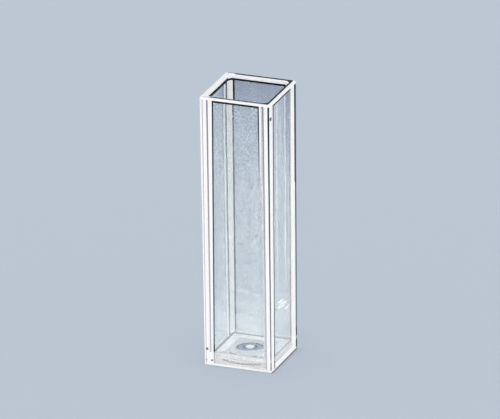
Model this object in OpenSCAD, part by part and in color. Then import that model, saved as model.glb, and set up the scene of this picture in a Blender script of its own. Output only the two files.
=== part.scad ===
// Square cuvette, moulded in one piece from clear plastic: four drafted walls round a
// square cavity, a rounded rim, and a floor whose underside is recessed round the gate.
// The origin is at the centre of the base, +Z runs up to the mouth.

/* [Walls] */
// Height from the foot to the rim
body_h = 47.5; // [35:0.5:60]
// Width of the cavity at its floor, the path that light takes through a sample
path_w = 10; // [8:0.1:12]
// Thickness of the walls at the rim
wall_t = 1.05; // [0.9:0.05:1.5]
// Draft of the outer faces, each leaning out towards the rim
outer_draft = 0.32; // [0.16:0.02:0.5]
// Draft of the cavity's faces, each leaning out towards the mouth
inner_draft = 0.25; // [0.05:0.01:0.3]

/* [Edges] */
// Radius of the upright outer edges at the foot
edge_r = 0.3; // [0.3:0.05:1]
// Radius of the upright cavity corners at the floor
corner_r = 0.6; // [0.6:0.05:1.5]
// Radius on the outer and the inner edge of the rim
rim_r = 0.35; // [0.1:0.05:0.35]
// Radius round the foot
foot_r = 0.2; // [0.1:0.05:0.25]
// Radius where the cavity's walls meet its floor
floor_r = 0.45; // [0.2:0.05:0.55]

/* [Floor] */
// Thickness of the floor outside the recess
floor_t = 1.9; // [1.8:0.1:3]
// Diameter of the round recess in the underside
recess_d = 9; // [8:0.1:9.6]
// Depth of the recess
recess_h = 1.1; // [0.6:0.1:1.2]
// Diameter of the dimple round the gate
dimple_d = 4.7; // [3:0.1:6]
// Depth of the dimple above the recess
dimple_h = 0.3; // [0.2:0.05:0.5]
// Diameter of the gate mark
gate_d = 1.2; // [0.8:0.1:2]
// Height of the gate mark, down from the top of the dimple
gate_h = 0.5; // [0.2:0.05:0.7]

/* [Hidden] */
$fn = 64;
over = 1; // how far a cut runs past the face that it opens

cavity_h = body_h - floor_t;
foot_w = path_w + 2 * (wall_t + cavity_h * tan(inner_draft) - body_h * tan(outer_draft));
outer_core = foot_w - 2 * edge_r; // square whose corners are the centres of the outer edges
inner_core = path_w - 2 * corner_r;
rim_edge_r = edge_r + body_h * tan(outer_draft); // the upright edges widen with the draft
mouth_corner_r = corner_r + cavity_h * tan(inner_draft);

module quarter_round(r) {
    intersection() {
        circle(r);
        square(r);
    }
}

// A section, drawn outwards from the side of a square core, goes right round that core:
// extruded along the four sides, and revolved at the four corners
module swept_block(core_w, bottom, top) {
    translate([-core_w / 2, -core_w / 2, bottom]) cube([core_w, core_w, top - bottom]);
    for (quarter = [0:3]) rotate(90 * quarter) translate([core_w / 2, core_w / 2, 0]) {
        rotate([90, 0, 0]) linear_extrude(core_w) children();
        rotate_extrude(angle = 90) children();
    }
}

module outer_section() {
    foot_x = edge_r - foot_r;
    rim_x = rim_edge_r - rim_r;
    polygon([
        [0, 0], [foot_x, 0], [foot_x, foot_r], [edge_r, foot_r],
        [rim_edge_r, body_h - rim_r], [rim_x, body_h - rim_r], [rim_x, body_h], [0, body_h]
    ]);
    translate([foot_x, foot_r]) mirror([0, 1]) quarter_round(foot_r);
    translate([rim_x, body_h - rim_r]) quarter_round(rim_r);
}

module cavity_section() {
    floor_x = corner_r - floor_r;
    lip_x = mouth_corner_r + rim_r;
    polygon([
        [0, floor_t], [floor_x, floor_t], [floor_x, floor_t + floor_r], [corner_r, floor_t + floor_r],
        [mouth_corner_r, body_h - rim_r], [mouth_corner_r, body_h], [lip_x, body_h],
        [lip_x, body_h + over], [0, body_h + over]
    ]);
    translate([floor_x, floor_t + floor_r]) mirror([0, 1]) quarter_round(floor_r);
    translate([mouth_corner_r, body_h - rim_r]) difference() {
        square(rim_r);
        translate([rim_r, 0]) circle(rim_r);
    }
}

// The space under the floor: a round recess, a shallow dome above it, and the gate mark
// left standing down from the top of the dome
module underside_space() {
    dome_r = (pow(dimple_d / 2, 2) + pow(dimple_h, 2)) / (2 * dimple_h);
    dome_top = recess_h + dimple_h;
    difference() {
        union() {
            translate([0, 0, -over]) cylinder(d = recess_d, h = recess_h + over);
            rotate_extrude() intersection() {
                translate([0, dome_top - dome_r]) circle(dome_r, $fn = 360);
                translate([0, recess_h / 2]) square([dimple_d / 2, recess_h / 2 + dimple_h]);
            }
        }
        translate([0, 0, dome_top - gate_h]) cylinder(d = gate_d, h = gate_h);
    }
}

module cuvette_body() {
    color([0.86, 0.92, 0.97, 0.35]) difference() {
        swept_block(outer_core, 0, body_h) outer_section();
        swept_block(inner_core, floor_t, body_h + over) cavity_section();
        underside_space();
    }
}

cuvette_body();
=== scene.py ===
import math

import bmesh
import bpy
from mathutils import Matrix, Vector


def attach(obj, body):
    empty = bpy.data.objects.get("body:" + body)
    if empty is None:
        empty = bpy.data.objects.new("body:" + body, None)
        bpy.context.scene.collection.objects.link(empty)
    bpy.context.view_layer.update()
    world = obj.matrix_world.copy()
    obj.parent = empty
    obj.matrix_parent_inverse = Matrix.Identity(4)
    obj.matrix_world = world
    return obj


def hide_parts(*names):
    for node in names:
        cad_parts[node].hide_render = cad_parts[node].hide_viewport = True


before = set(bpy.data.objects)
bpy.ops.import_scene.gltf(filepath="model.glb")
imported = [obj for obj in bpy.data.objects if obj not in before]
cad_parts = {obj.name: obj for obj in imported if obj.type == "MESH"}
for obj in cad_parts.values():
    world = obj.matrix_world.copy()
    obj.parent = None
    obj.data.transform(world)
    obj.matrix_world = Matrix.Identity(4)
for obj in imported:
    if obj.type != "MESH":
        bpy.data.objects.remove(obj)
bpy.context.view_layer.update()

mm = 0.001  # the moulding is drawn in millimetres and scaled to metres once it is whole
slack = 0.001  # millimetres, for telling whether a place is past a border
firstColour, secondColour, mixed = 6, 7, 2  # the colour sockets of a Mix node, two in and one out


def hexColour(code):  # sRGB hex to linear
    channels = [int(code[i:i + 2], 16) / 255 for i in (1, 3, 5)]
    return [c / 12.92 if c <= 0.04045 else ((c + 0.055) / 1.055) ** 2.4 for c in channels] + [1.0]


def addNode(tree, kind, inputs=None, **settings):  # an input is a value, a socket, or a node's first output
    node = tree.nodes.new(kind)
    for name, value in settings.items():
        setattr(node, name, value)
    for name, value in (inputs or {}).items():
        if isinstance(value, bpy.types.Node):
            value = value.outputs[0]
        if isinstance(value, bpy.types.NodeSocket):
            tree.links.new(value, node.inputs[name])
        else:
            node.inputs[name].default_value = value
    return node


def setStops(ramp, stops):  # a colour ramp's stops, as (place, sRGB hex) or (place, level)
    while len(ramp.color_ramp.elements) < len(stops):
        ramp.color_ramp.elements.new(0.5)
    for element, (place, tone) in zip(ramp.color_ramp.elements, stops):
        element.position = place
        element.color = hexColour(tone) if isinstance(tone, str) else (tone, tone, tone, 1)


def newMaterial(name):
    material = bpy.data.materials.new(name)
    material.use_nodes = True
    material.node_tree.nodes.clear()
    return material, material.node_tree


# a long lens from a little above, so that the uprights stay close to parallel
view = {
    "azimuth": 21.2, "elevation": 21.6, "roll": -0.71,  # degrees
    "distance": 2.0, "target": (0, 0, 0.0225), "slide": (-0.00008, -0.00337),  # metres, right and up
    "pixelsPerMetre": 6060, "frameWidth": 500, "sensor": 36,
}


def placeCamera():
    az, el, roll = (math.radians(view[k]) for k in ("azimuth", "elevation", "roll"))
    back = Vector((math.sin(az) * math.cos(el), -math.cos(az) * math.cos(el), math.sin(el)))
    right = Vector((math.cos(az), math.sin(az), 0))
    up = back.cross(right)
    right, up = (
        right * math.cos(roll) + up * math.sin(roll),
        up * math.cos(roll) - right * math.sin(roll),
    )
    data = bpy.data.cameras.new("viewCamera")
    data.sensor_width = view["sensor"]
    data.lens = view["distance"] * view["pixelsPerMetre"] * view["sensor"] / view["frameWidth"]
    camera = bpy.data.objects.new("viewCamera", data)
    bpy.context.scene.collection.objects.link(camera)
    aim = Vector(view["target"]) - right * view["slide"][0] - up * view["slide"][1]
    turn = Matrix((right, up, back)).transposed().to_4x4()
    camera.matrix_world = Matrix.Translation(aim + back * view["distance"]) @ turn
    bpy.context.scene.camera = camera


# material slots of the moulding, several of them painted light and painted shade
(
    clear, low, foot, streaked, paintedLight, paintedBrightLight, paintedShadeLine, paintedDeepShade, fadedShadeLine, fadedPaintedLight, base, softShadeLine, paintedFloorTone,
) = range(13)

# millimetres and degrees
body = {
    "height": 47.5, "pathWidth": 10.0, "wall": 1.05, "outerLean": 0.32, "innerLean": 0.25,
    "edgeRadius": 0.3, "cavityRadius": 0.6, "rimRadius": 0.35, "footRadius": 0.2, "floorRadius": 0.45,
    "floor": 1.9, "recess": 9.0, "recessDepth": 1.1, "dimple": 4.7, "dimpleDepth": 0.3,
    "gate": 1.2, "gateHeight": 0.5,
    "cornerSteps": 15, "roundSteps": 6, "domeSteps": 14, "sharpAngle": 30,
    # heights at which the finish of the walls changes
    "footEdge": 0.45, "footBand": 1.2, "footTop": 2.4, "matteBottom": 6.2, "matteTop": 9.6, "upper": 30.0,
    # depths of the bands under the rim, outside and in the cavity, and of the one over the floor's edge
    "topLine": 0.28, "innerTopBand": 0.25, "innerTopLine": 0.35, "floorBand": 0.12,
    # strips run up each side, out from its corners to these distances
    "cuts": (0.1, 0.55, 0.75, 1.0, 1.15, 1.35, 1.6, 1.8, 2.35),
    # how much wider the left post is at the rim, by distance from the corner
    "postSpread": ((1.0, 0), (1.35, 0.38), (1.6, 0.38), (2.35, 0)),
    # where the rounds change finish on their way over the edge, among them from painted light to painted
    # shade
    "rimTurns": (0, 30, 90), "mouthTurns": (90, 105, 180), "floorTurns": (0, -45, -90),
    # the dark half of the rim's flat is painted shade
    "landSplit": 0.7,  # how far out over the flat of the rim its dark half starts
    "floorBorder": 1.4,
    # painted dark arcs of shade in the recess: on its wall, by height, and on its ceiling, in from that wall
    "wallArc": (0.45, 0.85), "ceilingArc": (0.45, 0.8), "arcStart": 3.0,
    # the painted dark oval of shade in the dimple: its turn, then how far back it lies and its half sizes,
    # then the shares at which its paler ring starts and ends
    "ovalTurn": 21.2, "dimpleOval": (0.4, 2.4, 1.8), "ovalRings": (0.3, 0.6),
}
outerLean = math.tan(math.radians(body["outerLean"]))
cavityLean = math.tan(math.radians(body["innerLean"]))
cavityTall = body["height"] - body["floor"]
halfFoot = body["pathWidth"] / 2 + body["wall"] + cavityTall * cavityLean - body["height"] * outerLean
outerCore = halfFoot - body["edgeRadius"]  # half of the square whose corners are the centres of the edges
cavityCore = body["pathWidth"] / 2 - body["cavityRadius"]

# the strips at each end of a side, painted light in white and painted shade in dark, out from the corner: how
# far each one reaches, and its slot
outerStrips = {
    "frontLeft": ((0.1, softShadeLine), (0.75, paintedLight), (1.0, softShadeLine), (1.35, paintedLight), (1.6, paintedShadeLine)),
    "frontLeftFoot": ((0.1, softShadeLine), (1.35, paintedLight), (1.6, softShadeLine)),
    "frontRight": ((0.55, paintedLight), (0.75, softShadeLine)),
    "frontRightUpper": ((0.55, paintedLight), (0.75, softShadeLine), (1.0, clear), (1.35, fadedPaintedLight), (1.6, fadedShadeLine)),
    "rightFront": ((0.75, paintedLight), (1.15, paintedShadeLine)),
    "rightBack": ((0.55, paintedShadeLine), (2.35, paintedLight)),
    "rightBackUpper": ((0.75, paintedShadeLine), (2.35, paintedLight)),
    "backRight": ((0.55, paintedLight), (0.75, paintedShadeLine)),
    "backLeft": ((0.55, paintedLight), (0.75, paintedShadeLine)),
    "leftBack": ((0.55, paintedShadeLine), (1.15, paintedLight)),
    "leftFront": ((0.75, paintedLight), (1.15, paintedShadeLine)),
}
innerStrips = {
    "leftBack": ((0.43, paintedBrightLight), (0.78, paintedShadeLine), (1.21, clear), (1.83, paintedBrightLight)),
    "rightBack": ((0.08, paintedShadeLine),),
    "backRight": ((0.08, paintedShadeLine),),
    "backLeft": ((0.1, paintedShadeLine),),
}
# the bands round the upright corners, painted light and painted shade, in degrees from the side face
outerCorners = {
    "frontLeft": ((33, paintedShadeLine), (90, paintedLight)),
    "frontLeftUpper": ((90, paintedLight),),
    "frontRight": ((45, paintedLight), (75, paintedShadeLine), (90, paintedLight)),
    "backRight": ((45, paintedShadeLine), (90, paintedLight)),
    "backLeft": ((45, paintedShadeLine), (90, paintedLight)),
}
innerCorners = {
    "frontLeft": ((90, paintedBrightLight),),
    "frontRight": ((90, paintedBrightLight),),
    "backRight": ((12, paintedShadeLine), (78, paintedBrightLight), (90, paintedShadeLine)),
    "backLeft": ((70, paintedBrightLight), (90, paintedShadeLine)),
}
# the sides on which a ring of the rim gets a painted dark line of shade
rimLines = {
    "outerRound": ("back",), "land": ("back", "front"), "landInside": ("back", "front", "right"),
    "mouthRoundTop": ("back", "front", "right"), "mouthRound": ("right",), "innerTopBand": ("left",),
    "floorEdge": ("left", "back", "right"),
}


def outerRadius(z):  # of the upright edges
    return body["edgeRadius"] + z * outerLean


def cavityRadius(z):
    return body["cavityRadius"] + (z - body["floor"]) * cavityLean


def pickBand(bands, place, otherwise):
    for reach, slot in bands:
        if place <= reach + slack:
            return slot
    return otherwise


def sideOf(x, y):
    if abs(x) > abs(y):
        return "right" if x > 0 else "left"
    return "back" if y > 0 else "front"


def wallBand(face, core, strips, corners, window):  # which finish a piece of a wall takes
    x, y, z = face.calc_center_median()
    across, along = "right" if x > 0 else "left", "back" if y > 0 else "front"
    level = "Upper" if z > body["upper"] else "Foot" if z < body["footTop"] else ""
    if min(abs(x), abs(y)) > core - slack:
        turn = math.degrees(math.atan2(abs(y) - core, abs(x) - core))
        corner = along + across.capitalize()
        return pickBand(corners.get(corner + level, corners[corner]), turn, paintedLight)
    side = across + along.capitalize() if abs(x) > abs(y) else along + across.capitalize()
    bands = strips.get(side + level, strips.get(side, ()))
    return pickBand(bands, core - min(abs(x), abs(y)), window)


def windowSlot(x, y, z):
    side = sideOf(x, y)
    # painted light: the lowest band on the right is white
    if z < body["footBand"] and side == "right":
        return paintedBrightLight
    if z < body["footTop"]:
        return foot
    if z < body["matteTop"] and (z > body["matteBottom"] or side in ("left", "back")):
        return low
    return clear


def outerSlot(face, core):
    x, y, z = face.calc_center_median()
    window = windowSlot(x, y, z)
    if window == clear and sideOf(x, y) == "right":
        window = streaked
    # a painted line of shade runs round the outside just under the rim
    if z > body["height"] - body["rimRadius"] - body["topLine"]:
        window = paintedShadeLine
    return wallBand(face, core, outerStrips, outerCorners, window)


def innerSlot(face, core):
    return wallBand(face, core, innerStrips, innerCorners, windowSlot(*face.calc_center_median()))


# painted shade: a ring of the rim or of the floor's edge is a dark line on the sides listed, painted light
# elsewhere
def lineSlot(part):  # a corner is dark where the sides on both its hands are
    def slot(face, core):
        x, y = face.calc_center_median().xy
        sides = {sideOf(x, y)}
        if min(abs(x), abs(y)) > core - slack:
            sides = {"right" if x > 0 else "left", "back" if y > 0 else "front"}
        return paintedShadeLine if sides <= set(rimLines[part]) else paintedBrightLight
    return slot


# painted shade along the foot's round on the right, painted light on the other sides
def footSlot(face, core):
    x, y = face.calc_center_median().xy
    return paintedDeepShade if sideOf(x, y) == "right" else paintedLight


# painted shade in the recess
def frontArc(face, core):  # the recess shows dark only where it comes near the front
    return paintedDeepShade if face.calc_center_median().y < -body["arcStart"] else paintedBrightLight


# painted light along the floor's edges
def borderSlot(face, core):  # the floor is pale along its edges, but for the front one
    x, y = face.calc_center_median().xy
    return base if sideOf(x, y) == "front" else paintedBrightLight


# painted shade in the dimple, with a paler painted ring
def dimpleSlot(face, core):  # dark inside an oval that lies towards the back of the dimple
    x, y = face.calc_center_median().xy
    turn = math.radians(body["ovalTurn"])
    backwards, across, along = body["dimpleOval"]
    u, v = x * math.cos(turn) + y * math.sin(turn), y * math.cos(turn) - x * math.sin(turn)
    out = (u / across) ** 2 + ((v - backwards) / along) ** 2
    if out >= 1:
        return paintedBrightLight
    inside, outside = body["ovalRings"]
    return paintedDeepShade if out < inside or out > outside and v > backwards else paintedFloorTone


def drawRing(bm, core, radius, z):  # a square with rounded corners, or a circle where the core is 0
    steps, cuts = body["cornerSteps"], body["cuts"]
    known = set(bm.edges)
    if core == 0:
        bmesh.ops.create_circle(
            bm, segments=4 * (steps + 1), radius=radius, matrix=Matrix.Translation((0, 0, z)),
        )
        return {"edges": [e for e in bm.edges if e not in known], "core": 0, "radius": radius, "z": z}
    made = bmesh.ops.create_circle(
        bm, cap_ends=True, segments=4, radius=(core + radius) * math.sqrt(2),
        matrix=Matrix.Translation((0, 0, z)) @ Matrix.Rotation(math.pi / 4, 4, "Z"),
    )
    bmesh.ops.bevel(
        bm, geom=made["verts"], offset=radius, offset_type="OFFSET", segments=steps,
        profile=0.5, affect="VERTICES", material=-1,
    )
    edges = [e for e in bm.edges if e not in known]
    bmesh.ops.delete(bm, geom=list({f for e in edges for f in e.link_faces}), context="FACES_ONLY")
    sides = [e for e in edges if e.calc_length() > core]
    made = bmesh.ops.bisect_edges(bm, edges=sides, cuts=2 * len(cuts))["geom_split"]
    for v in [part for part in made if isinstance(part, bmesh.types.BMVert)]:
        axis = 0 if abs(v.co.x) < core - slack else 1
        place = round((v.co[axis] + core) / (2 * core) * (2 * len(cuts) + 1))
        if place <= len(cuts):
            v.co[axis] = cuts[place - 1] - core
        else:
            v.co[axis] = core - cuts[2 * len(cuts) - place]
    return {"edges": [e for e in bm.edges if e not in known], "core": core, "radius": radius, "z": z}


def grow(bm, loop, radius, z, slot, core=None):  # pulls a ring out to its next size and height
    old = loop["core"]
    core = old if core is None else core
    known = set(bm.faces)
    made = bmesh.ops.extrude_edge_only(bm, edges=loop["edges"])["geom"]
    for v in [part for part in made if isinstance(part, bmesh.types.BMVert)]:
        anchor = Vector((max(-old, min(old, v.co.x)), max(-old, min(old, v.co.y))))
        out = (v.co.xy - anchor).normalized()
        anchor *= core / old if old else 1
        v.co = (anchor + out * radius).to_3d() + Vector((0, 0, z))
    for face in [f for f in bm.faces if f not in known]:
        face.material_index = slot(face, core) if callable(slot) else slot
    edges = [part for part in made if isinstance(part, bmesh.types.BMEdge)]
    return {"edges": edges, "core": core, "radius": radius, "z": z}


def rollOver(bm, loop, size, start, end, slot):  # a quarter round, its angles from level outwards
    steps = body["roundSteps"]
    turns = [math.radians(start + (end - start) * i / steps) for i in range(steps + 1)]
    for last, turn in zip(turns, turns[1:]):
        radius = loop["radius"] + size * (math.cos(turn) - math.cos(last))
        z = loop["z"] + size * (math.sin(turn) - math.sin(last))
        loop = grow(bm, loop, radius, z, slot=slot)
    return loop


def spreadPost(bm):  # the left post of the front widens towards the rim
    steps = body["postSpread"]
    for v in bm.verts:
        place = outerCore + v.co.x
        if v.co.y < -outerCore and steps[0][0] < place < steps[-1][0]:
            for (a, wide), (b, wider) in zip(steps, steps[1:]):
                if a <= place <= b:
                    widest = wide + (wider - wide) * (place - a) / (b - a)
            v.co.x += widest * v.co.z / body["height"]


def raiseOutside(bm, sole):  # from the foot up to the flat of the rim
    b = body
    tall, rim = b["height"], b["rimRadius"]
    loop = rollOver(bm, sole, b["footRadius"], -90, 0, slot=footSlot)
    loop = grow(bm, loop, outerRadius(b["footEdge"]), b["footEdge"], slot=paintedLight)
    levels = [b[k] for k in ("footBand", "footTop", "matteBottom", "matteTop", "upper")]
    for z in levels + [tall - rim - b["topLine"]]:
        loop = grow(bm, loop, outerRadius(z), z, slot=outerSlot)
    loop = grow(bm, loop, outerRadius(tall), tall - rim, slot=outerSlot)
    spreadPost(bm)
    start, middle, end = b["rimTurns"]
    loop = rollOver(bm, loop, rim, start, middle, slot=paintedBrightLight)
    return rollOver(bm, loop, rim, middle, end, slot=lineSlot("outerRound"))


def lowerCavity(bm, loop):  # over the rim and down the cavity to its floor
    b = body
    tall, rim = b["height"], b["rimRadius"]
    reach, inside = loop["radius"] + outerCore, cavityRadius(tall) + rim + cavityCore
    land = inside + (reach - inside) * b["landSplit"]
    loop = grow(bm, loop, land - outerCore, tall, slot=lineSlot("land"))
    loop = grow(bm, loop, cavityRadius(tall) + rim, tall, core=cavityCore, slot=lineSlot("landInside"))
    start, middle, end = b["mouthTurns"]
    loop = rollOver(bm, loop, rim, start, middle, slot=lineSlot("mouthRoundTop"))
    loop = rollOver(bm, loop, rim, middle, end, slot=lineSlot("mouthRound"))
    z = tall - rim - b["innerTopBand"]
    loop = grow(bm, loop, cavityRadius(z), z, slot=lineSlot("innerTopBand"))
    z -= b["innerTopLine"]
    loop = grow(bm, loop, cavityRadius(z), z, slot=paintedShadeLine)
    floorRound = b["floor"] + b["floorRadius"]
    for z in (b["upper"], b["matteTop"], b["matteBottom"], floorRound + b["floorBand"]):
        loop = grow(bm, loop, cavityRadius(z), z, slot=innerSlot)
    loop = grow(bm, loop, b["cavityRadius"], floorRound, slot=innerSlot)
    start, middle, end = b["floorTurns"]
    loop = rollOver(bm, loop, b["floorRadius"], start, middle, slot=innerSlot)
    loop = rollOver(bm, loop, b["floorRadius"], middle, end, slot=lineSlot("floorEdge"))
    inset = 1 - b["floorBorder"] / (cavityCore + loop["radius"])
    loop = grow(bm, loop, loop["radius"] * inset, b["floor"], core=cavityCore * inset, slot=borderSlot)
    for face in bmesh.ops.contextual_create(bm, geom=loop["edges"])["faces"]:
        face.material_index = base


def hollowUnderside(bm, sole):  # a recess, a polished dimple in it and the stub of the gate
    b = body
    deep, ceiling = b["recessDepth"], b["dimpleDepth"]
    recess = drawRing(bm, 0, b["recess"] / 2, 0)
    for face in bmesh.ops.bridge_loops(bm, edges=sole["edges"] + recess["edges"])["faces"]:
        face.material_index = paintedLight
    loop, wide = recess, recess["radius"]
    for z, slot in zip((*b["wallArc"], deep), (paintedBrightLight, frontArc, paintedBrightLight)):
        loop = grow(bm, loop, wide, z, slot=slot)
    for inwards, slot in zip(b["ceilingArc"], (paintedBrightLight, frontArc)):
        loop = grow(bm, loop, wide - inwards, deep, slot=slot)
    half, gate = b["dimple"] / 2, b["gate"] / 2
    loop = grow(bm, loop, half, deep, slot=paintedBrightLight)
    domeRadius = (half ** 2 + ceiling ** 2) / (2 * ceiling)
    for i in range(1, b["domeSteps"] + 1):
        radius = half + (gate - half) * i / b["domeSteps"]
        z = deep + math.sqrt(domeRadius ** 2 - radius ** 2) - (domeRadius - ceiling)
        loop = grow(bm, loop, radius, z, slot=dimpleSlot)
    loop = grow(bm, loop, gate, deep + ceiling - b["gateHeight"], slot=paintedBrightLight)
    for face in bmesh.ops.contextual_create(bm, geom=loop["edges"])["faces"]:
        face.material_index = paintedBrightLight


def faceOrder(face, count):  # extruding leaves the faces in a new order each time, so they get a fixed one
    first, second, third = sorted(v.index for v in face.verts)[:3]
    return (first * count + second) * count + third


def buildBody():
    bm = bmesh.new()
    sole = drawRing(bm, outerCore, body["edgeRadius"] - body["footRadius"], 0)
    lowerCavity(bm, raiseOutside(bm, sole))
    hollowUnderside(bm, sole)
    bm.verts.index_update()
    bm.faces.sort(key=lambda face: faceOrder(face, len(bm.verts)))
    bmesh.ops.recalc_face_normals(bm, faces=bm.faces[:])
    bmesh.ops.scale(bm, vec=(mm, mm, mm), verts=bm.verts[:])
    openEdges = [e for e in bm.edges if len(e.link_faces) != 2]
    volume = round(bm.calc_volume() / mm ** 3, 1)
    print("body faces", len(bm.faces), "open edges", len(openEdges), "volume", volume)
    for face in bm.faces:
        face.smooth = True
    for edge in bm.edges:
        edge.smooth = edge.calc_face_angle(0) < math.radians(body["sharpAngle"])
    mesh = bpy.data.meshes.new("clearBody")
    bm.to_mesh(mesh)
    bm.free()
    obj = bpy.data.objects.new("clearBody", mesh)
    bpy.context.scene.collection.objects.link(obj)
    flat = obj.modifiers.new("flatWindows", "WEIGHTED_NORMAL")
    flat.keep_sharp = True
    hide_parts("cuvette_body")
    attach(obj, "root")
    return obj


# what the see-through finishes share: sizes in millimetres, the levels of a noise at which a mark starts
# and is full, and how strong it is there. The speckle and the specks are dust and marks left by the mould,
# drawn coarser than they are so that they show
plastic = {
    "ior": 1.59, "letThrough": "#FFFFFF", "darkTone": "#345E7E", "edgeRoughness": 0.2, "fadedRoughness": 0.05,
    # painted shade: tone of the far wall, darker towards the rim, by height, and the depth at which it takes
    # over from the near one's
    "farWallPaintedShade": (
        (26.0, "#FFFFFF"), (31.8, "#F6F8FA"), (36.9, "#E8EDF4"), (41.9, "#DAE1EB"), (47.0, "#CECEDB"),
    ),
    "farFrom": (-1.0, 3.0),
    "speckle": 0.26, "speckleRough": 0.6, "speckleDark": (0.56, 0.34), "speckleWhite": (0.5, 0.7),
    "speckleFade": (14.0, 44.0, 0.5),  # heights between which it comes up from this share
    "cloud": 2.2, "cloudLevels": (0.35, 0.65), "cloudDark": 0.05,
    "speckSpacing": 1.2, "speckRadius": 0.15, "speckCore": 0.02,
    "ripple": 1.6, "rippleDepth": 0.004, "rippleStrength": 0.5,
}
# a faint wavy dark line across the front wall: height, rise and sway across it
waveLine = {"height": 13.4, "slope": -0.14, "sway": 2.0, "width": 0.1, "dark": 0.2, "front": -5.0}
# flow marks on the right wall: broad streaks, as their place across it, half width and how white or dark,
# and fine lines between them
flow = {
    "streaks": ((-3.3, 0.35, 0.6), (-0.9, 0.35, -0.35), (0.6, 0.35, 0.7), (1.5, 0.3, -0.4), (2.4, 0.3, 0.45)),
    "core": 0.3, "fade": (11.0, 20.0), "sway": 0.9,
    "lineWidth": 0.3, "lineLength": 6.0, "lineLevels": (0.48, 0.66), "lineWhite": 0.5,
}
# a painted glint low on the outside of the right wall, white patches in place of light caught there; past
# "face":
# its middle and half size along the wall and upwards, how far out it fades, and the noise that frays it
paintedGlint = {
    "face": 5.8, "along": (-0.8, 3.2), "upwards": (10.0, 1.0), "slope": 0.37, "edge": (1.3, 0.5),
    "grain": (0.2, 0.2, 1.3), "glintFraying": (0.38, 0.62), "full": 0.6, "white": 0.85,
}
# the whitened spot over the gate
blush = {"radius": 0.75, "edge": (1.15, 0.8), "white": 0.95}


def millimetres(tree):  # places on the moulding
    place = addNode(tree, "ShaderNodeTexCoord").outputs["Object"]
    return addNode(tree, "ShaderNodeVectorMath", {0: place, "Scale": 1 / mm}, operation="SCALE").outputs[0]


def speckleMarks(tree, place, height, soft, finish):  # a fine speckle, stronger towards the rim, and specks
    p = plastic
    start, end, least = p["speckleFade"]
    much = addNode(tree, "ShaderNodeMapRange", {
        "Value": height, "From Min": start, "From Max": end, "To Min": least,
    })
    fine = addNode(tree, "ShaderNodeTexNoise", {
        "Vector": place, "Scale": 1 / p["speckle"], "Detail": 1.0, "Roughness": p["speckleRough"],
    })
    grains = []
    for levels, strength in (("speckleDark", finish["speckle"]), ("speckleWhite", finish["haze"])):
        start, full = p[levels]
        grain = addNode(tree, "ShaderNodeMapRange", {
            "Value": fine, "From Min": start, "From Max": full, "To Max": strength,
        })
        grains.append(addNode(tree, "ShaderNodeMath", {0: grain, 1: much}, operation="MULTIPLY"))
    start, full = p["cloudLevels"]
    cloud = addNode(tree, "ShaderNodeMapRange", {
        "Value": soft, "From Min": start, "From Max": full, "To Max": p["cloudDark"],
    })
    dark = addNode(tree, "ShaderNodeMath", {0: grains[0], 1: cloud})
    # scattered specks that catch the light
    cells = addNode(tree, "ShaderNodeTexVoronoi", {"Vector": place, "Scale": 1 / p["speckSpacing"]})
    specks = addNode(tree, "ShaderNodeMapRange", {
        "Value": cells, "From Min": p["speckRadius"] / p["speckSpacing"], "From Max": p["speckCore"],
        "To Max": finish["specks"],
    })
    return [grains[1], specks], [dark], much


def waveLineMark(tree, x, y, z, soft):  # faint and wavy, on the front only
    wave = addNode(tree, "ShaderNodeMath", {0: x, 1: -waveLine["slope"], 2: z}, operation="MULTIPLY_ADD")
    wave = addNode(tree, "ShaderNodeMath", {0: soft, 1: waveLine["sway"], 2: wave}, operation="MULTIPLY_ADD")
    middle = waveLine["height"] + waveLine["sway"] / 2
    wave = addNode(tree, "ShaderNodeMath", {0: wave, 1: middle, 2: waveLine["width"]}, operation="COMPARE")
    wave = addNode(tree, "ShaderNodeMath", {0: wave, 1: waveLine["dark"]}, operation="MULTIPLY")
    front = addNode(tree, "ShaderNodeMath", {0: y, 1: waveLine["front"]}, operation="LESS_THAN")
    return addNode(tree, "ShaderNodeMath", {0: wave, 1: front}, operation="MULTIPLY")


def flowMarks(tree, place, y, z, soft, much):  # they fade out towards the foot
    white, dark = [], []
    start, full = flow["fade"]
    fade = addNode(tree, "ShaderNodeMapRange", {"Value": z, "From Min": start, "From Max": full})
    across = addNode(tree, "ShaderNodeMath", {0: soft, 1: flow["sway"], 2: y}, operation="MULTIPLY_ADD")
    for at, width, strength in flow["streaks"]:
        off = addNode(tree, "ShaderNodeMath", {0: across, 1: at + flow["sway"] / 2}, operation="SUBTRACT")
        off = addNode(tree, "ShaderNodeMath", {0: off}, operation="ABSOLUTE")
        band = addNode(tree, "ShaderNodeMapRange", {
            "Value": off, "From Min": width, "From Max": width * flow["core"], "To Max": abs(strength),
        })
        band = addNode(tree, "ShaderNodeMath", {0: band, 1: fade}, operation="MULTIPLY")
        (white if strength > 0 else dark).append(band)
    thin, long = 1 / flow["lineWidth"], 1 / flow["lineLength"]
    drawn = addNode(tree, "ShaderNodeMapping", {"Vector": place, "Scale": (thin, thin, long)})
    lines = addNode(tree, "ShaderNodeTexNoise", {"Vector": drawn, "Scale": 1.0, "Detail": 1.0})
    start, full = flow["lineLevels"]
    lines = addNode(tree, "ShaderNodeMapRange", {
        "Value": lines, "From Min": start, "From Max": full, "To Max": flow["lineWhite"],
    })
    white.append(addNode(tree, "ShaderNodeMath", {0: lines, 1: much}, operation="MULTIPLY"))
    return white, dark


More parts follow.
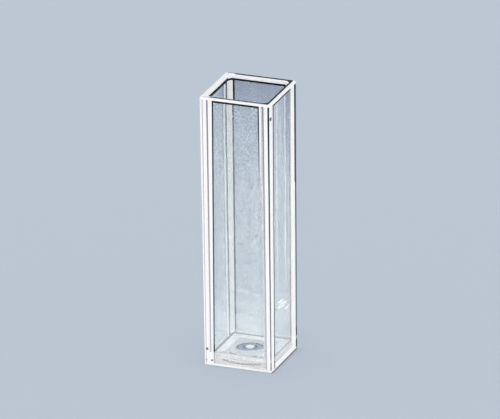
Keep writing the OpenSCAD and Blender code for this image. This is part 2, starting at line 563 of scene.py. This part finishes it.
# painted highlight: a white glint on the right wall
def paintedGlintMark(tree, place, x, y, z):  # frayed all round, and smeared along the wall
    level = addNode(tree, "ShaderNodeMath", {0: y, 1: paintedGlint["slope"], 2: z}, operation="MULTIPLY_ADD")
    mark = addNode(tree, "ShaderNodeMath", {0: x, 1: paintedGlint["face"]}, operation="GREATER_THAN")
    outside, inside = paintedGlint["edge"]
    for along, (middle, half) in ((y, paintedGlint["along"]), (level, paintedGlint["upwards"])):
        off = addNode(tree, "ShaderNodeMath", {0: along, 1: middle}, operation="SUBTRACT")
        off = addNode(tree, "ShaderNodeMath", {0: off}, operation="ABSOLUTE")
        within = addNode(tree, "ShaderNodeMapRange", {
            "Value": off, "From Min": half * outside, "From Max": half * inside,
        }, interpolation_type="SMOOTHSTEP")
        mark = addNode(tree, "ShaderNodeMath", {0: mark, 1: within}, operation="MULTIPLY")
    smear = addNode(tree, "ShaderNodeMapping", {"Vector": place, "Scale": paintedGlint["grain"]})
    grain = addNode(tree, "ShaderNodeTexNoise", {"Vector": smear, "Scale": 1.0, "Detail": 3.0})
    start, full = paintedGlint["glintFraying"]
    glintFraying = addNode(tree, "ShaderNodeMapRange", {"Value": grain, "From Min": start, "From Max": full})
    frayed = addNode(tree, "ShaderNodeMath", {0: mark, 1: glintFraying}, operation="SUBTRACT")
    return addNode(tree, "ShaderNodeMapRange", {
        "Value": frayed, "From Max": paintedGlint["full"], "To Max": paintedGlint["white"],
    })


def blushMark(tree, place):
    flat = addNode(tree, "ShaderNodeVectorMath", {0: place, 1: (1, 1, 0)}, operation="MULTIPLY")
    away = addNode(tree, "ShaderNodeVectorMath", {0: flat}, operation="LENGTH").outputs["Value"]
    outside, inside = (blush["radius"] * share for share in blush["edge"])
    return addNode(tree, "ShaderNodeMapRange", {
        "Value": away, "From Min": outside, "From Max": inside, "To Max": blush["white"],
    })


def polishedPlastic(name, finish):
    p, tall = plastic, body["height"]
    material, tree = newMaterial(name)
    place = millimetres(tree)
    x, y, z = addNode(tree, "ShaderNodeSeparateXYZ", {"Vector": place}).outputs
    # painted shade: the far wall darkens towards the rim
    height = addNode(tree, "ShaderNodeMath", {0: z, 1: tall}, operation="DIVIDE")
    tone = addNode(tree, "ShaderNodeValToRGB", {"Fac": height})
    setStops(tone, [(level / tall, colour) for level, colour in p["farWallPaintedShade"]])
    near, deep = p["farFrom"]
    far = addNode(tree, "ShaderNodeMapRange", {
        "Value": y, "From Min": near, "From Max": deep,
    }, interpolation_type="SMOOTHSTEP")
    colour = addNode(tree, "ShaderNodeMix", {
        "Factor": far, firstColour: hexColour(finish["tint"]), secondColour: tone,
    }, data_type="RGBA").outputs[mixed]
    # marks on it, light and dark
    soft = addNode(tree, "ShaderNodeTexNoise", {"Vector": place, "Scale": 1 / p["cloud"], "Detail": 2.0})
    white, dark, much = speckleMarks(tree, place, z, soft, finish)
    dark.append(waveLineMark(tree, x, y, z, soft))
    if finish.get("streaked"):
        streaks, shades = flowMarks(tree, place, y, z, soft, much)
        white += streaks
        dark += shades
    # the white patch low on the right wall is a painted glint
    white += [paintedGlintMark(tree, place, x, y, z), blushMark(tree, place)]
    # where marks overlap, the strongest one shows
    shade, cover = dark.pop(), white.pop()
    for mark in dark:
        shade = addNode(tree, "ShaderNodeMath", {0: shade, 1: mark}, operation="MAXIMUM")
    for mark in white:
        cover = addNode(tree, "ShaderNodeMath", {0: cover, 1: mark}, operation="MAXIMUM")
    colour = addNode(tree, "ShaderNodeMix", {
        "Factor": shade, firstColour: colour, secondColour: hexColour(p["darkTone"]),
    }, data_type="RGBA").outputs[mixed]
    seen = addNode(tree, "ShaderNodeMath", {
        0: cover, 1: -finish["clearness"], 2: finish["clearness"],
    }, operation="MULTIPLY_ADD")
    ripple = addNode(tree, "ShaderNodeTexNoise", {"Vector": place, "Scale": 1 / p["ripple"], "Detail": 1.0})
    bump = addNode(tree, "ShaderNodeBump", {
        "Strength": p["rippleStrength"], "Distance": p["rippleDepth"] * mm, "Height": ripple,
    })
    shader = addNode(tree, "ShaderNodeBsdfPrincipled", {
        "Base Color": colour, "Roughness": finish["roughness"], "IOR": p["ior"],
        "Transmission Weight": seen, "Normal": bump, "Specular IOR Level": finish["gloss"],
    })
    # the studio's light goes on through the clear walls and reaches what they enclose
    shadow = addNode(tree, "ShaderNodeLightPath").outputs["Is Shadow Ray"]
    through = addNode(tree, "ShaderNodeBsdfTransparent", {"Color": hexColour(p["letThrough"])})
    both = addNode(tree, "ShaderNodeMixShader", {"Fac": shadow, 1: shader, 2: through})
    addNode(tree, "ShaderNodeOutputMaterial", {"Surface": both})
    return material


# the grain of the painted white posts, in millimetres and coarser than it is, so that it shows, and the small
# dark flaws in them
grained = {
    "grain": 0.25, "detail": 3.0, "rough": 0.6, "levels": (0.3, 0.6), "depth": 0.02, "strength": 0.3,
    "roughness": 0.35,
    "flaw": "#14181E", "flawCore": 0.6, "flawDark": 0.9,
}


# painted light: white plastic, a little translucent, in place of the light that gathers in the clear posts
def paintedLightPlastic(name, finish):
    g = grained
    material, tree = newMaterial(name)
    place = millimetres(tree)
    fine = addNode(tree, "ShaderNodeTexNoise", {
        "Vector": place, "Scale": 1 / g["grain"], "Detail": g["detail"], "Roughness": g["rough"],
    })
    tone = addNode(tree, "ShaderNodeValToRGB", {"Fac": fine})
    setStops(tone, list(zip(g["levels"], (finish["dark"], finish["light"]))))
    colour = tone.outputs[0]
    for x, y, z, radius in finish["flaws"]:
        away = addNode(tree, "ShaderNodeVectorMath", {0: place, 1: (x, y, z)}, operation="DISTANCE")
        spot = addNode(tree, "ShaderNodeMapRange", {
            "Value": away.outputs["Value"], "From Min": radius, "From Max": radius * g["flawCore"],
            "To Max": g["flawDark"],
        })
        colour = addNode(tree, "ShaderNodeMix", {
            "Factor": spot, firstColour: colour, secondColour: hexColour(g["flaw"]),
        }, data_type="RGBA").outputs[mixed]
    bump = addNode(tree, "ShaderNodeBump", {
        "Strength": g["strength"], "Distance": g["depth"] * mm, "Height": fine,
    })
    shader = addNode(tree, "ShaderNodeBsdfPrincipled", {
        "Base Color": colour, "Roughness": g["roughness"], "IOR": plastic["ior"], "Normal": bump,
        "Specular IOR Level": finish["gloss"],
    })
    behind = addNode(tree, "ShaderNodeBsdfTranslucent", {"Color": colour})
    both = addNode(tree, "ShaderNodeMixShader", {"Fac": finish["through"], 1: shader, 2: behind})
    addNode(tree, "ShaderNodeOutputMaterial", {"Surface": both})
    return material


# painted shade: dark lines where clear edges throw the light aside, darker towards the rim
def paintedShadePlastic(name, finish):  # its tone changes with height, as a share of the whole
    material, tree = newMaterial(name)
    z = addNode(tree, "ShaderNodeSeparateXYZ", {"Vector": millimetres(tree)}).outputs["Z"]
    height = addNode(tree, "ShaderNodeMath", {0: z, 1: body["height"]}, operation="DIVIDE")
    tone = addNode(tree, "ShaderNodeValToRGB", {"Fac": height})
    setStops(tone, finish["tones"])
    shader = addNode(tree, "ShaderNodeBsdfPrincipled", {
        "Base Color": tone, "Roughness": plastic["edgeRoughness"], "IOR": plastic["ior"],
        "Specular IOR Level": finish["gloss"],
    })
    addNode(tree, "ShaderNodeOutputMaterial", {"Surface": shader})
    return material


# one flat painted tone for what shows through the dimple
def paintedLensPlastic(name, finish):  # one tone all over
    material, tree = newMaterial(name)
    shader = addNode(tree, "ShaderNodeBsdfPrincipled", {
        "Base Color": hexColour(finish["colour"]), "Roughness": plastic["edgeRoughness"],
        "IOR": plastic["ior"], "Specular IOR Level": finish["gloss"],
    })
    addNode(tree, "ShaderNodeOutputMaterial", {"Surface": shader})
    return material


# painted shade and painted light that fade out down the wall
def fadedPlastic(name, finish):  # runs out into clear plastic, from the rim down to where the strip ends
    material, tree = newMaterial(name)
    z = addNode(tree, "ShaderNodeSeparateXYZ", {"Vector": millimetres(tree)}).outputs["Z"]
    fade = addNode(tree, "ShaderNodeMapRange", {
        "Value": z, "From Min": body["upper"], "From Max": finish["fullAbove"], "To Min": 1.0, "To Max": 0.0,
    })
    tone = addNode(tree, "ShaderNodeMix", {
        "Factor": fade, firstColour: hexColour(finish["colour"]),
        secondColour: hexColour(plastic["letThrough"]),
    }, data_type="RGBA")
    seen = addNode(tree, "ShaderNodeMapRange", {
        "Value": fade, "To Min": finish["clearness"], "To Max": finish["endClearness"],
    })
    shader = addNode(tree, "ShaderNodeBsdfPrincipled", {
        "Base Color": tone.outputs[mixed], "Roughness": plastic["fadedRoughness"], "IOR": plastic["ior"],
        "Transmission Weight": seen,
    })
    addNode(tree, "ShaderNodeOutputMaterial", {"Surface": shader})
    return material


# one clear moulding in polystyrene: its windows are polished; the white where its corner posts gather the
# light and the dark lines where they throw it aside are painted light and painted shade, so each part of it
# has its own finish.
# They stand in the order of the slots
finishes = {
    # polished walls: nearly all of what is behind shows, with a fine speckle and a few bright specks
    "polishedPolystyrene": (polishedPlastic, {
        "tint": "#FBFFFF", "clearness": 0.95, "speckle": 0.4, "haze": 0.26, "specks": 0.8,
        "roughness": 0.02, "gloss": 0.5,
    }),
    # the low band of the walls: a thin haze lightens what is behind
    "hazyPolystyrene": (polishedPlastic, {
        "tint": "#FBFFFF", "clearness": 0.86, "speckle": 0.32, "haze": 0.28, "specks": 0.8,
        "roughness": 0.02, "gloss": 0.5,
    }),
    # the foot below the floor: frosted, so the recess shows only as soft arcs
    "frostedPolystyrene": (polishedPlastic, {
        "tint": "#FFFFFF", "clearness": 0.56, "speckle": 0.25, "haze": 0.55, "specks": 0.9,
        "roughness": 0.05, "gloss": 0.5,
    }),
    # the right wall: polished, with flow streaks that run up it in white and grey
    "streakedPolystyrene": (polishedPlastic, {
        "tint": "#FBFFFF", "clearness": 0.94, "speckle": 0.42, "haze": 0.3, "specks": 0.8,
        "roughness": 0.02, "gloss": 0.5, "streaked": True,
    }),
    # the posts and the outer edges: painted light, white satin that stands in for the light gathered in them,
    # with a few dark flaws
    "paintedLightPolystyrene": (paintedLightPlastic, {
        "light": "#FFFFFF", "dark": "#F4F5F9", "through": 0.2, "gloss": 0.7,
        "flaws": (
            (-5.45, -6.0, 2.9, 0.3), (6.2, -5.75, 45.0, 0.42), (6.0, 5.6, 0.4, 0.3),
            (-5.6, -6.0, 0.9, 0.16), (-4.6, -6.0, 0.95, 0.22),
        ),
    }),
    # the rounds and inner corners: painted light, whiter still, with a brighter sheen
    "paintedBrightPolystyrene": (paintedLightPlastic, {
        "light": "#FFFFFF", "dark": "#F8F8FA", "through": 0.1, "gloss": 1.0,
        "flaws": ((-5.55, 5.55, 47.4, 0.2), (-4.75, 5.35, 46.9, 0.25)),
    }),
    # painted shade on edges that throw the light aside: thin near black lines, darker towards the rim, paler
    # where they run out near the foot
    "paintedShadeEdge": (paintedShadePlastic, {
        "tones": (
            (0.0, "#8A929C"), (0.015, "#14181E"), (0.035, "#14181E"), (0.045, "#B0B6BE"), (0.055, "#14181E"),
            (0.075, "#14181E"), (0.09, "#5A6470"), (0.6, "#3A424E"), (0.9, "#1C2129"), (1.0, "#0E1116"),
        ),
        "gloss": 0.1,
    }),
    # the dimple over the gate, curved like a lens: painted shade in deep blue, also on the recess's arcs and
    # the right of the foot
    "paintedShadeDimple": (paintedLensPlastic, {"colour": "#04183A", "gloss": 0.0}),
    # painted shade and painted light: a dark line and a white strip that fade out as they come down from the
    # rim
    "fadedPaintedShade": (fadedPlastic, {
        "colour": "#1C2129", "clearness": 0.8, "endClearness": 0.955, "fullAbove": 42.0,
    }),
    "fadedPaintedLight": (fadedPlastic, {
        "colour": "#F4F5F8", "clearness": 0.1, "endClearness": 0.955, "fullAbove": 42.0,
    }),
    # the floor of the cavity: the clearest part, without a sheen, so the dimple shows through it
    "floorPolystyrene": (polishedPlastic, {
        "tint": "#FFFFFF", "clearness": 0.99, "speckle": 0.08, "haze": 0.04, "specks": 0.8,
        "roughness": 0.02, "gloss": 0.0,
    }),
    # painted shade on softer edges: mauve grey lines within the painted white posts
    "paintedSoftShadeEdge": (paintedShadePlastic, {
        "tones": ((0.0, "#B4B6C0"), (0.5, "#9A96A2"), (0.9, "#7C7884"), (1.0, "#7C7884")), "gloss": 0.1,
    }),
    # the middle of the dimple, turned to the pale floor: painted grey blue, the floor's tone seen through it
    "dimplePaintedFloorTone": (paintedLensPlastic, {"colour": "#84A0BC", "gloss": 0.0}),
}

studio = {
    "backdrop": "#BCC6D2", "floorColour": "#F4F4F4", "floorHalf": 2.0,  # metres
    "floorDrop": 0.05,  # millimetres under the foot, so that their faces don't share a plane
    # light by the height it comes from, as the sine of its angle
    "light": ((0.0, 1.75), (0.25, 1.75), (0.6, 0.9), (1.0, 0.75)),
    "bounces": 24, "glossyBounces": 12,
}


# 1 where the backdrop itself is seen, also mirrored in or through the plastic, and 0 where it lights
# something
def backdropRays(tree):
    ray = addNode(tree, "ShaderNodeLightPath").outputs
    seen = ray["Is Camera Ray"]
    for kind in ("Is Glossy Ray", "Is Transmission Ray"):
        seen = addNode(tree, "ShaderNodeMath", {0: seen, 1: ray[kind]}, operation="MAXIMUM")
    # before its first bounce off something matt
    straight = addNode(tree, "ShaderNodeMath", {0: ray["Diffuse Depth"], 1: 0.5}, operation="LESS_THAN")
    return addNode(tree, "ShaderNodeMath", {0: seen, 1: straight}, operation="MULTIPLY")


def lightStudio():
    scene = bpy.context.scene
    scene.view_settings.view_transform = "Standard"
    scene.cycles.blur_glossy = 0  # light that has to cross the clear walls arrives in full
    scene.cycles.max_bounces = studio["bounces"]
    scene.cycles.transmission_bounces = studio["bounces"]
    scene.cycles.glossy_bounces = studio["glossyBounces"]
    world = bpy.data.worlds.new("studio")
    scene.world = world
    world.use_nodes = True
    tree = world.node_tree
    tree.nodes.clear()
    towards = addNode(tree, "ShaderNodeTexCoord").outputs["Generated"]
    height = addNode(tree, "ShaderNodeSeparateXYZ", {"Vector": towards}).outputs["Z"]
    ramp = addNode(tree, "ShaderNodeValToRGB", {"Fac": height})
    setStops(ramp, studio["light"])
    sky = addNode(tree, "ShaderNodeMix", {
        "Factor": backdropRays(tree), firstColour: ramp, secondColour: hexColour(studio["backdrop"]),
    }, data_type="RGBA")
    sky = addNode(tree, "ShaderNodeBackground", {"Color": sky.outputs[mixed], "Strength": 1.0})
    addNode(tree, "ShaderNodeOutputWorld", {"Surface": sky})


def layFloor():
    bm = bmesh.new()
    bmesh.ops.create_grid(bm, x_segments=1, y_segments=1, size=studio["floorHalf"])
    mesh = bpy.data.meshes.new("floor")
    bm.to_mesh(mesh)
    bm.free()
    floor = bpy.data.objects.new("floor", mesh)
    bpy.context.scene.collection.objects.link(floor)
    material, tree = newMaterial("paleFloor")
    tint = addNode(tree, "ShaderNodeMix", {
        "Factor": backdropRays(tree), firstColour: hexColour(studio["floorColour"]),
        secondColour: hexColour(studio["backdrop"]),
    }, data_type="RGBA")
    diffuse = addNode(tree, "ShaderNodeBsdfDiffuse", {"Color": tint.outputs[mixed]})
    addNode(tree, "ShaderNodeOutputMaterial", {"Surface": diffuse})
    mesh.materials.append(material)
    floor.location.z = -studio["floorDrop"] * mm


placeCamera()
print("camera placed at", [round(v, 3) for v in bpy.context.scene.camera.location])
lightStudio()
layFloor()
print("studio and floor ready")
cuvette = buildBody()
print("moulding built,", len(cuvette.data.polygons), "faces")
for name, (makeMaterial, finish) in finishes.items():
    cuvette.data.materials.append(makeMaterial(name, finish))
print("finishes given:", ", ".join(material.name for material in cuvette.data.materials))
